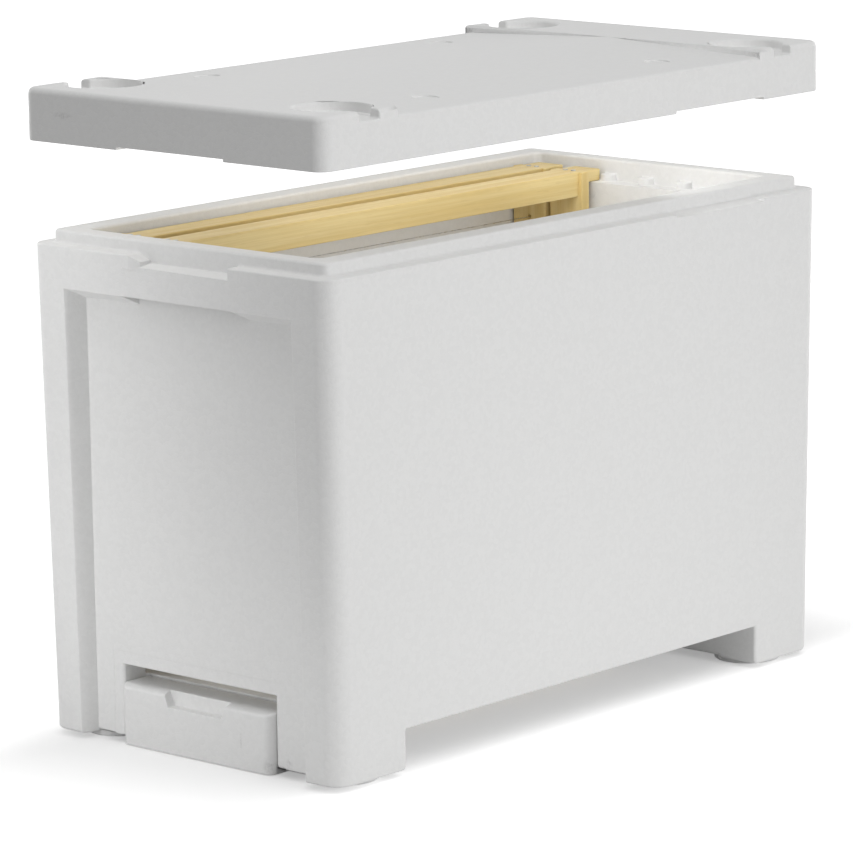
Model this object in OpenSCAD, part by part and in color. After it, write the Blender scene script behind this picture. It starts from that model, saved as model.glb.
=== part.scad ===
// Nuc box: a small beehive moulded in white foam, with a lift-off roof, an entrance block,
// a meshed floor vent and two wired wooden frames that hang by their lugs on castellated shelves.
// X runs across the box, Y along it with the entrance at the front (-Y), and Z up from the ground.

/* [Frames] */
// Length of a frame over its side bars
frame_l = 448; // [400:1:460]
// Height of a frame
frame_h = 285; // [230:1:310]
// Distance from one frame to the next
frame_pitch = 37.4; // [36:0.1:40]
// Number of frame places across the box
frame_slots = 6; // [5:1:8]
// Length of each lug past its side bar
lug_l = 17.5; // [12:0.5:21]
// Height of a lug
lug_h = 9; // [7:0.5:11]
// Width of a top bar and its lugs
top_bar_w = 25; // [22:0.5:27]
// Height of a top bar between the side bars
top_bar_h = 19; // [15:0.5:22]
// Thickness of a side bar
side_bar_t = 9; // [8:0.5:10]
// Width of a side bar below its shoulders
side_bar_w = 25; // [20:0.5:27]
// Height of the wide shoulders of a side bar
shoulder_h = 90; // [60:1:120]
// Width of a bottom bar
bottom_bar_w = 20; // [16:0.5:20]
// Height of a bottom bar
bottom_bar_h = 9; // [6:0.5:12]
// Rows of wire across a frame
wire_rows = 4; // [2:2:6]
// Diameter of the frame wire
wire_d = 0.6; // [0.4:0.1:1]

/* [Box] */
// Thickness of the long walls
side_wall = 32.8; // [28:0.2:40]
// Thickness of the end walls behind their recesses
panel_t = 24.5; // [20:0.5:36]
// Depth of the recess in each end
recess_d = 18.5; // [14:0.5:24]
// Thickness of the floor
floor_t = 13; // [10:0.5:20]
// Height of the arch between the feet
arch_h = 34; // [28:1:44]
// Length of each foot along the box
foot_l = 77; // [76:1:90]
// Depth of the shelves that carry the lugs
shelf_d = 15.5; // [14.5:0.5:20]
// Lean of each long side over its height
side_draft = 2.6; // [0.2:0.2:4]
// Lean of each end over its height
end_draft = 6.7; // [0.5:0.1:8]
// Radius of the upright corners
corner_r = 14.5; // [8:0.5:18]
// Width of the ledge around the rim
ledge_w = 12; // [8:0.5:14]
// Height of the rim above the ledge
rim_h = 9.5; // [6:0.5:12]

/* [Entrance] */
// Width of the entrance
entrance_w = 149; // [120:1:165]
// Height of the bee gap above the entrance block
entrance_h = 11; // [7:0.5:14]
// How far the entrance block stands proud of the panel
block_proud = 4.6; // [2:0.2:8]

/* [Roof] */
// Height of the roof
roof_h = 38; // [30:0.5:50]
// Overhang of the roof at each end
roof_over = 2; // [0:0.5:5]
// Height of the raised roof above the ledge
roof_lift = 73.7; // [40:0.1:120]
// Fall of the roof from its ridge to each long edge
roof_fall = 6; // [2:0.5:9]
// Length of the level strip with the dishes at each end of the roof
strip_l = 76.5; // [76:0.5:90]
// Diameter of the stacking dishes
dish_d = 55; // [52:0.5:58]
// Depth of the stacking dishes
dish_depth = 7; // [5:0.5:9]
// Diameter of the round pads under the feet
pad_d = 50; // [44:0.5:51]

/* [Hidden] */
$fn = 64;

foam = [0.92, 0.92, 0.91];
pine = [0.80, 0.69, 0.42];
steel = [0.62, 0.63, 0.65];
brass_colour = [0.72, 0.58, 0.28];
pin_colour = [0.85, 0.85, 0.84];

// Spaces left for the bees and for fitting
overrun = 2;
bee_space = 8;
top_space = 7;
under_space = 31.5;
seat_gap = 0.2;
wood_gap = 0.1;
shoulder_gap = 5;
nub_gap = 0.5;
block_gap = 0.5;
cap_gap = 1;
cap_head = 0.5;
nail_gap = 0.05;

// Body
inner_w = frame_slots * frame_pitch;
body_w = inner_w + 2 * side_wall;
cavity_l = frame_l + 2 * bee_space;
end_t = recess_d + panel_t;
body_l = cavity_l + 2 * end_t;
pocket_l = cavity_l + 2 * shelf_d;
floor_z = arch_h + floor_t;
frame_z = floor_z + under_space;
frame_top = frame_z + frame_h;
rim_z = frame_top + top_space;
ledge_z = rim_z - rim_h;
shelf_z = frame_top - lug_h - seat_gap;
base_w = body_w - 2 * side_draft;
base_l = body_l - 2 * end_draft;
flare = [body_w / base_w, body_l / base_l];
pad_h = 4;
skirt_z = 5.5;
rim_r = 6;
inner_r = 6;
pad_side = 35;
pad_end = 46;
nub_w = frame_pitch - top_bar_w - 2 * nub_gap;
nub_l = 9;
nub_h = 5.5;

// End recess with its bevelled mouth, sloping soffit and finger grip
pillar_w = 35.6;
mouth_w = body_w - 2 * pillar_w;
panel_draft = 3.9;
panel_w = mouth_w - 2 * panel_draft;
bevel_out = 1.3;
bevel_in = 3.25;
bevel_d = 7;
lintel_h = 30;
lintel_z = ledge_z - lintel_h;
soffit_drop = 8;
grip_w = 106;
grip_h = 14;
grip_lip = 9;

// Tool notches in the ledge, with a ridged rib at one end of each end notch
notch_w = 103;
notch_h = 8;
notch_back = 6;
rib_w = 17.5;
rib_ridge = 9;
rib_h = 10;
rib_proud = 1.6;
rib_back = 1.4;
rib_fall = 4;
side_notch_h = 2.4;
side_notch_end = 120.7;

// Entrance, set a little to the left
entrance_z = floor_z + entrance_h;
entrance_x = -3.5;
surround_w = 9.8;
surround_d = 0.4;
block_w = entrance_w - 2 * block_gap;
block_y = recess_d - block_proud;
block_r = 7;
block_clear = 0.5;
block_drop = 1.5;
slope_d = 6;
slope_h = 2.5;
scoop_w = 62;
scoop_floor_w = 52;
scoop_h = 8.5;
scoop_d = 7;

// Floor vent
vent_margin = 55;
vent_end = 63;
vent_l = body_l - 2 * (foot_l + vent_end);
vent_w = inner_w - 2 * vent_margin;
mesh_border = 11;
mesh_t = 1.5;
mesh_gap = 0.3;
mesh_w = vent_w + 2 * mesh_border;
mesh_l = vent_l + 2 * mesh_border;
mesh_bar = 2.2;
mesh_rows = 7;
mesh_columns = 16;
cell_w = (vent_w - mesh_bar * (mesh_rows - 1)) / mesh_rows;
cell_l = (vent_l - mesh_bar * (mesh_columns - 1)) / mesh_columns;
pin_r = 1.6;
pin_head_r = 4;
pin_head_h = 1.4;
pin_l = 9;

// Roof
roof_w = body_w;
roof_l = body_l + 2 * roof_over;
roof_r = 11;
roof_z = ledge_z + roof_lift;
cap_d = rim_h + cap_head;
dish_x = body_w / 2 - pad_side;
dish_y = body_l / 2 - pad_end;
drain_w = 20;
roof_notch_h = 2;
mark_d = 19;
mark_depth = 1.2;
mark_side = 39;
mark_end = 149;

// Frame joinery
top_bar_l = frame_l + 2 * lug_l;
inside_l = frame_l - 2 * side_bar_t;
shoulder_w = frame_pitch - shoulder_gap;
shoulder_run = 12;
groove_w = 3;
groove_d = 5;
side_y = (frame_l - side_bar_t) / 2;
wire_top = 39;
wire_bottom = 45;
wire_pitch = (frame_h - wire_top - wire_bottom) / (wire_rows - 1);
eyelet_r = 1.5;
eyelet_bore = 0.7;
flange_r = 2.4;
flange_t = 0.5;
wire_y = frame_l / 2 + flange_t + wire_d;
nail_r = 0.9;
nail_head_r = 2;
nail_head_h = 0.7;
top_nail_l = 28;
top_nail_x = 4;
bottom_nail_l = 22;
tack_r = 0.7;
tack_head_r = 1.6;
tack_head_t = 0.6;
tack_l = 6;
tack_stand = 2;
tack_rise = 14;

// Depth of the leaning end face behind its top edge at a height
function face_y(z) = end_draft * (ledge_z - z) / (ledge_z - pad_h);

// Angle at which the end face leans
face_lean = atan(end_draft / (ledge_z - pad_h));

// Middle of a frame in its place, counted from the left wall
function frame_at(i) = [(2 * i + 1 - frame_slots) * frame_pitch / 2, 0, 0];

// Height of a wire row, counted from the top
function wire_z(k) = frame_top - wire_top - k * wire_pitch;

// Side of the frame on which a row's wire passes to the next row: rear first, then front
function link_side(k) = k % 2 == 0 ? 1 : -1;

module rounded_rect(w, l, r) {
    square([w - 2 * r, l], center = true);
    square([w, l - 2 * r], center = true);
    for (x = [-1, 1], y = [-1, 1])
        translate([x * (w / 2 - r), y * (l / 2 - r)]) circle(r);
}

// Repeats its children at the front and, turned half round, at the rear
module both_ends() {
    for (turn = [0, 180]) rotate([0, 0, turn]) translate([0, -body_l / 2, 0]) children();
}

// Extrudes a Y-Z profile across X, centred
module across(w) {
    translate([-w / 2, 0, 0]) rotate([90, 0, 90]) linear_extrude(w) children();
}

module at_corners(x, y) {
    for (sx = [-1, 1], sy = [-1, 1]) translate([sx * x, sy * y, 0]) children();
}

// Upright cut, wide in front and narrow behind
module recess_cut(wide, narrow, depth) {
    translate([0, 0, -overrun]) linear_extrude(lintel_z + 2 * overrun)
        polygon([[-wide / 2, -overrun], [wide / 2, -overrun], [wide / 2, 0],
                 [narrow / 2, depth], [-narrow / 2, depth], [-wide / 2, 0]]);
}

module end_recess() {
    intersection() {
        union() {
            recess_cut(mouth_w, panel_w, recess_d);
            translate([0, face_y(0), 0]) rotate([face_lean, 0, 0])
                recess_cut(mouth_w + 2 * bevel_out, mouth_w - 2 * bevel_in, bevel_d);
        }
        across(body_w)
            polygon([[-overrun, -overrun], [recess_d, -overrun], [recess_d, lintel_z - soffit_drop],
                     [0, lintel_z], [-overrun, lintel_z]]);
    }
    across(grip_w)
        polygon([[-overrun, lintel_z - 2 * soffit_drop], [recess_d, lintel_z - 2 * soffit_drop],
                 [recess_d, lintel_z + grip_h], [grip_lip, lintel_z + grip_h], [grip_lip, lintel_z],
                 [-overrun, lintel_z]]);
}

// Sloping cut from the rim's foot down to the outer face
module tool_notch(w, drop, back) {
    across(w)
        polygon([[-overrun, ledge_z - drop], [face_y(ledge_z), ledge_z - drop],
                 [ledge_w, ledge_z - back], [ledge_w, ledge_z + overrun], [-overrun, ledge_z + overrun]]);
}

module end_notch() {
    translate([rib_ridge / 2, 0, 0]) tool_notch(notch_w - rib_ridge, notch_h, notch_back);
}

module notch_rib() {
    rib_z = ledge_z - rib_h;
    rear = ledge_w + overrun;
    translate([-notch_w / 2, 0, 0]) intersection() {
        translate([0, 0, rib_z]) linear_extrude(rib_h)
            polygon([[0, rear], [0, face_y(rib_z)], [rib_ridge, -rib_proud],
                     [rib_w, rib_back], [rib_w, rear]]);
        translate([0, rear, 0]) rotate([90, 0, 0]) linear_extrude(rear + rib_proud)
            polygon([[0, rib_z], [rib_w, rib_z], [rib_w, ledge_z - rib_fall],
                     [rib_ridge, ledge_z], [0, ledge_z]]);
    }
}

module side_notches() {
    for (turn = [90, 270])
        rotate([0, 0, turn]) translate([body_l / 2 - side_notch_end, -body_w / 2, 0])
            tool_notch(notch_w, side_notch_h, 0);
}

module entrance_seat() {
    seat_l = end_t + overrun;
    translate([entrance_x - entrance_w / 2, -overrun, -overrun])
        cube([entrance_w, seat_l, entrance_z + overrun]);
    surround = entrance_w + 2 * surround_w;
    translate([entrance_x - surround / 2, -overrun, -overrun])
        cube([surround, recess_d + surround_d + overrun, entrance_z + surround_w + overrun]);
}

module floor_vent() {
    depth = floor_t + 2 * overrun;
    translate([-vent_w / 2, -vent_l / 2, arch_h - overrun]) cube([vent_w, vent_l, depth]);
    rebate_w = mesh_w + 2 * mesh_gap;
    rebate_l = mesh_l + 2 * mesh_gap;
    translate([-rebate_w / 2, -rebate_l / 2, floor_z - mesh_t])
        cube([rebate_w, rebate_l, mesh_t + overrun]);
    at_pins() translate([0, 0, floor_z - pin_l]) cylinder(r = pin_r + nail_gap, h = pin_l + overrun);
}

module at_pins() {
    for (x = [-1, 1], y = [-1, 0, 1])
        translate([x * (mesh_w - mesh_border) / 2, y * (mesh_l - mesh_border) / 2, 0]) children();
}

// Nubs that part the lugs, rounded towards the middle of the box
module nubs() {
    straight = nub_l - nub_w / 2;
    for (i = [1 : frame_slots - 1])
        translate([(2 * i - frame_slots) * frame_pitch / 2, (body_l - pocket_l) / 2 - overrun, shelf_z])
            linear_extrude(nub_h) {
                translate([-nub_w / 2, 0]) square([nub_w, straight + overrun]);
                translate([0, straight + overrun]) circle(nub_w / 2);
            }
}

module hive_body() color(foam) {
    difference() {
        union() {
            translate([0, 0, pad_h])
                linear_extrude(height = ledge_z - pad_h, scale = flare, slices = 1)
                    rounded_rect(base_w, base_l, corner_r);
            translate([0, 0, ledge_z])
                linear_extrude(rim_h) rounded_rect(body_w - 2 * ledge_w, body_l - 2 * ledge_w, rim_r);
        }
        translate([0, 0, floor_z])
            linear_extrude(rim_z - floor_z + overrun) rounded_rect(inner_w, cavity_l, inner_r);
        translate([0, 0, shelf_z])
            linear_extrude(rim_z - shelf_z + overrun) rounded_rect(inner_w, pocket_l, inner_r);
        translate([-body_w / 2 - overrun, foot_l - body_l / 2, -overrun])
            cube([body_w + 2 * overrun, body_l - 2 * foot_l, arch_h + overrun]);
        translate([-panel_w / 2, -body_l / 2 - overrun, -overrun])
            cube([panel_w, body_l + 2 * overrun, skirt_z + overrun]);
        both_ends() end_recess();
        both_ends() end_notch();
        side_notches();
        translate([0, -body_l / 2, 0]) entrance_seat();
        floor_vent();
    }
    both_ends() notch_rib();
    both_ends() nubs();
    at_corners(dish_x, dish_y) cylinder(d = pad_d, h = skirt_z);
}

module roof() color(foam) translate([0, 0, roof_z]) difference() {
    linear_extrude(roof_h) rounded_rect(roof_w, roof_l, roof_r);
    gable_l = roof_l - 2 * strip_l;
    half = roof_w / 2 + overrun;
    low = roof_h - roof_fall * half / (roof_w / 2);
    translate([0, gable_l / 2, 0]) rotate([90, 0, 0]) linear_extrude(gable_l)
        polygon([[-half, low], [0, roof_h], [half, low], [half, roof_h + overrun],
                 [-half, roof_h + overrun]]);
    translate([0, 0, roof_h - dish_depth])
        at_corners(dish_x, dish_y) cylinder(d = dish_d, h = dish_depth + overrun);
    drain_z = roof_h - (dish_depth - overrun) / 2;
    for (x = [-1, 1], y = [-1, 1])
        translate([x * (dish_x + roof_w / 2 + overrun) / 2, y * dish_y, drain_z])
            cube([roof_w / 2 - dish_x + overrun, drain_w, dish_depth + overrun], center = true);
    translate([0, 0, -overrun]) linear_extrude(cap_d + overrun)
        rounded_rect(body_w - 2 * (ledge_w - cap_gap), body_l - 2 * (ledge_w - cap_gap), rim_r);
    notch_d = ledge_w + overrun;
    for (y = [-1, 1]) translate([0, y * (roof_l / 2 + overrun - notch_d / 2), 0])
        cube([notch_w, notch_d, 2 * roof_notch_h], center = true);
    for (s = [-1, 1])
        translate([s * (roof_w / 2 + overrun - notch_d / 2), s * (body_l / 2 - side_notch_end), 0])
            cube([notch_d, notch_w, 2 * roof_notch_h], center = true);
    mark_x = roof_w / 2 - mark_side;
    translate([0, 0, roof_h - roof_fall * mark_x / (roof_w / 2) - mark_depth])
        at_corners(mark_x, roof_l / 2 - mark_end) cylinder(d = mark_d, h = roof_fall + overrun);
}

module entrance_block() color(foam) translate([entrance_x, -body_l / 2, 0]) {
    back = end_t - block_gap;
    top = floor_z - block_drop;
    difference() {
        intersection() {
            across(block_w)
                polygon([[block_y, block_clear], [back, block_clear], [back, top],
                         [block_y + slope_d, top], [block_y, top - slope_h]]);
            linear_extrude(top) {
                translate([-block_w / 2, block_y + block_r]) square([block_w, back - block_y - block_r]);
                translate([block_r - block_w / 2, block_y]) square([block_w - 2 * block_r, back - block_y]);
                for (x = [-1, 1])
                    translate([x * (block_w / 2 - block_r), block_y + block_r]) circle(block_r);
            }
        }
        scoop_z = top - slope_h - scoop_h;
        translate([0, block_y + scoop_d, 0]) rotate([90, 0, 0]) linear_extrude(scoop_d + overrun)
            polygon([[-scoop_floor_w / 2, scoop_z], [scoop_floor_w / 2, scoop_z],
                     [scoop_w / 2, top + overrun], [-scoop_w / 2, top + overrun]]);
    }
}

module floor_mesh() color(steel) translate([0, 0, floor_z - mesh_t]) difference() {
    linear_extrude(mesh_t) difference() {
        square([mesh_w, mesh_l], center = true);
        for (i = [0 : mesh_rows - 1], j = [0 : mesh_columns - 1])
            translate([i * (cell_w + mesh_bar) - vent_w / 2, j * (cell_l + mesh_bar) - vent_l / 2])
                square([cell_w, cell_l]);
    }
    at_pins() translate([0, 0, -overrun]) cylinder(r = pin_r + nail_gap, h = mesh_t + 2 * overrun);
}

module mesh_pins() color(pin_colour) at_pins() {
    translate([0, 0, floor_z]) cylinder(r = pin_head_r, h = pin_head_h);
    translate([0, 0, floor_z - pin_l]) cylinder(r = pin_r, h = pin_l);
}

// Places of the nails down through the lugs
module at_top_nails() {
    for (x = [-1, 1], y = [-1, 1]) translate([x * top_nail_x, y * side_y, frame_top]) children();
}

// Places of the nails through the side bars into the bottom bar, pointing inwards along Z
module at_bottom_nails() {
    for (y = [-1, 1])
        translate([0, y * frame_l / 2, frame_z + bottom_bar_h / 2]) rotate([y * 90, 0, 0]) children();
}

// Places of the wire holes at one end, pointing outwards along Z
module at_eyelets(end) {
    for (k = [0 : wire_rows - 1])
        translate([0, end * (frame_l / 2 - side_bar_t), wire_z(k)]) rotate([-end * 90, 0, 0]) children();
}

// Places of the two tacks that hold the wire's ends on the front bar, pointing outwards along Z
module at_tacks() {
    for (z = [wire_z(0) + tack_rise, wire_z(wire_rows - 1) - tack_rise])
        translate([0, -frame_l / 2, z]) rotate([90, 0, 0]) children();
}

module nail_holes() {
    at_top_nails() translate([0, 0, -top_nail_l])
        cylinder(r = nail_r + nail_gap, h = top_nail_l + overrun);
    at_bottom_nails() translate([0, 0, -overrun])
        cylinder(r = nail_r + nail_gap, h = bottom_nail_l + overrun);
}

module top_bar(i) color(pine) translate(frame_at(i)) difference() {
    union() {
        translate([-top_bar_w / 2, -inside_l / 2, frame_top - top_bar_h])
            cube([top_bar_w, inside_l, top_bar_h]);
        translate([-top_bar_w / 2, -top_bar_l / 2, frame_top - lug_h]) cube([top_bar_w, top_bar_l, lug_h]);
    }
    translate([-groove_w / 2, -inside_l / 2 - overrun, frame_top - top_bar_h - overrun])
        cube([groove_w, inside_l + 2 * overrun, groove_d + overrun]);
    nail_holes();
}

module side_bar(i, end) color(pine) translate(frame_at(i)) difference() {
    shoulder_z = frame_top - shoulder_h;
    slot_w = top_bar_w + 2 * wood_gap;
    translate([0, end * side_y + side_bar_t / 2, 0]) rotate([90, 0, 0]) linear_extrude(side_bar_t)
        polygon([[-side_bar_w / 2, frame_z], [side_bar_w / 2, frame_z],
                 [side_bar_w / 2, shoulder_z - shoulder_run], [shoulder_w / 2, shoulder_z],
                 [shoulder_w / 2, frame_top], [slot_w / 2, frame_top], [slot_w / 2, frame_top - lug_h],
                 [-slot_w / 2, frame_top - lug_h], [-slot_w / 2, frame_top], [-shoulder_w / 2, frame_top],
                 [-shoulder_w / 2, shoulder_z], [-side_bar_w / 2, shoulder_z - shoulder_run]]);
    nail_holes();
    at_eyelets(end) translate([0, 0, -overrun])
        cylinder(r = eyelet_r + nail_gap, h = side_bar_t + 2 * overrun);
    if (end < 0) at_tacks() translate([0, 0, -tack_l])
        cylinder(r = tack_r + nail_gap, h = tack_l + overrun);
}

module bottom_bar(i) color(pine) translate(frame_at(i)) difference() {
    translate([-bottom_bar_w / 2, -inside_l / 2, frame_z]) cube([bottom_bar_w, inside_l, bottom_bar_h]);
    nail_holes();
}

module nails(i) color(steel) translate(frame_at(i)) {
    at_top_nails() {
        cylinder(r = nail_head_r, h = nail_head_h);
        translate([0, 0, -top_nail_l]) cylinder(r = nail_r, h = top_nail_l);
    }
    at_bottom_nails() {
        translate([0, 0, -nail_head_h]) cylinder(r = nail_head_r, h = nail_head_h);
        cylinder(r = nail_r, h = bottom_nail_l);
    }
}

module eyelets(i) color(brass_colour) translate(frame_at(i))
    for (end = [-1, 1]) at_eyelets(end) difference() {
        union() {
            cylinder(r = eyelet_r, h = side_bar_t);
            translate([0, 0, side_bar_t]) cylinder(r = flange_r, h = flange_t);
        }
        translate([0, 0, -overrun]) cylinder(r = eyelet_bore, h = side_bar_t + 2 * overrun);
    }

module tacks(i) color(steel) translate(frame_at(i)) at_tacks() {
    translate([0, 0, -tack_l]) cylinder(r = tack_r, h = tack_l + tack_stand);
    translate([0, 0, tack_stand]) cylinder(r = tack_head_r, h = tack_head_t);
}

// One wire that runs through every row, passes from row to row outside the side bars
// and ends beside the tacks
module wire(i) color(steel) translate(frame_at(i)) {
    last = wire_rows - 1;
    for (k = [0 : last])
        translate([0, wire_y, wire_z(k)]) rotate([90, 0, 0]) cylinder(d = wire_d, h = 2 * wire_y);
    for (k = [0 : last - 1])
        translate([0, link_side(k) * wire_y, wire_z(k + 1)]) cylinder(d = wire_d, h = wire_pitch);
    for (k = [0 : last], end = [-1, 1]) translate([0, end * wire_y, wire_z(k)]) sphere(d = wire_d);
    tail = tack_rise - tack_r - wire_d;
    for (z = [wire_z(0), wire_z(last) - tail]) translate([0, -wire_y, z]) cylinder(d = wire_d, h = tail);
}

hive_body();
roof();
entrance_block();
floor_mesh();
mesh_pins();
top_bar(0);  // frame_a_top_bar
side_bar(0, -1);  // frame_a_front_side_bar
side_bar(0, 1);  // frame_a_rear_side_bar
bottom_bar(0);  // frame_a_bottom_bar
wire(0);  // frame_a_wire
eyelets(0);  // frame_a_eyelets
nails(0);  // frame_a_nails
tacks(0);  // frame_a_tacks
top_bar(1);  // frame_b_top_bar
side_bar(1, -1);  // frame_b_front_side_bar
side_bar(1, 1);  // frame_b_rear_side_bar
bottom_bar(1);  // frame_b_bottom_bar
wire(1);  // frame_b_wire
eyelets(1);  // frame_b_eyelets
nails(1);  // frame_b_nails
tacks(1);  // frame_b_tacks
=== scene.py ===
"""Looks of a nuc box: softened foam mouldings, two wired wooden frames and a plain studio.

Sizes of the object's pieces are in millimetres. Meshes, lamps and the camera are placed in metres, in the
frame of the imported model.
"""

import logging
import math
from abc import ABC, abstractmethod
from collections import defaultdict
from dataclasses import dataclass, field
from enum import Enum
from typing import Iterable, Optional, Sequence, Union

import bpy
from mathutils import Matrix, Vector


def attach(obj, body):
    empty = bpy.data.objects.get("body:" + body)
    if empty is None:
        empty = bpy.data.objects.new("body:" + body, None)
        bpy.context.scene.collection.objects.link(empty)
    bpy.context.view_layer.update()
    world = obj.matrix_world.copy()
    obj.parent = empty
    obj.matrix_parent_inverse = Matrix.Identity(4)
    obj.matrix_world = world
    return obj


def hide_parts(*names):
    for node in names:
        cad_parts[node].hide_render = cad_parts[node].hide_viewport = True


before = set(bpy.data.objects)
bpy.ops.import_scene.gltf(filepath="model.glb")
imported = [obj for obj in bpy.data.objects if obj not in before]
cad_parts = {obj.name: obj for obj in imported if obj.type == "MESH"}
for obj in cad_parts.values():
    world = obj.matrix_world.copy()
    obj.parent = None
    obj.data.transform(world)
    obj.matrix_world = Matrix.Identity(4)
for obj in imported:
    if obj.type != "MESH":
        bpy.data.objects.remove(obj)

MM = 0.001
log = logging.getLogger("nuc_box")

Pair = tuple[float, float]
Triple = tuple[float, float, float]
Socket = bpy.types.NodeSocket
Value = Union[Socket, float, Sequence[float]]


class Slot(Enum):
    """Material slots of the part's record, passed along with new pieces but not read."""

    FOAM = "foam"
    PINE = "pine"


class Body(Enum):
    """Moving bodies that the pieces ride on."""

    BOX = "box"
    ROOF = "roof"
    BLOCK = "entrance_block"
    FRAME_A = "frame_a"
    FRAME_B = "frame_b"


class Fibres(Enum):
    """Way the fibres of a wooden bar run, as the turn of its pattern about X in degrees."""

    LENGTHWISE = 0.0
    UPRIGHT = 90.0


class Reach(Enum):
    """Pieces that a lamp lights."""

    EVERYTHING = "everything"
    OBJECT_ONLY = "object_only"
    BOX_ONLY = "box_only"
    FLOOR_ONLY = "floor_only"


class Kind(Enum):
    """Kinds of socket that a node group has."""

    VALUE = "NodeSocketFloat"
    VECTOR = "NodeSocketVector"


def metres(values: Iterable[float]) -> tuple[float, ...]:
    """Turns millimetres into metres."""
    return tuple(value * MM for value in values)


def opaque(colour: Triple) -> tuple[float, float, float, float]:
    """Gives a colour its full cover."""
    return (*colour, 1.0)


@dataclass(frozen=True)
class EdgeRule:
    """A block of space whose sharp edges are rounded by one radius.

    Attributes:
        low: Least |x|, |y| and z of the block, so that a rule holds on both sides and at both ends.
        high: Greatest |x|, |y| and z of the block.
        radius: Radius of the rounding.
    """

    low: Triple
    high: Triple
    radius: float

    def holds(self, point: Vector) -> bool:
        """Whether a point in metres lies in the block."""
        place = (abs(point.x) / MM, abs(point.y) / MM, point.z / MM)
        return all(a <= p <= b for a, p, b in zip(self.low, place, self.high))


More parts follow.
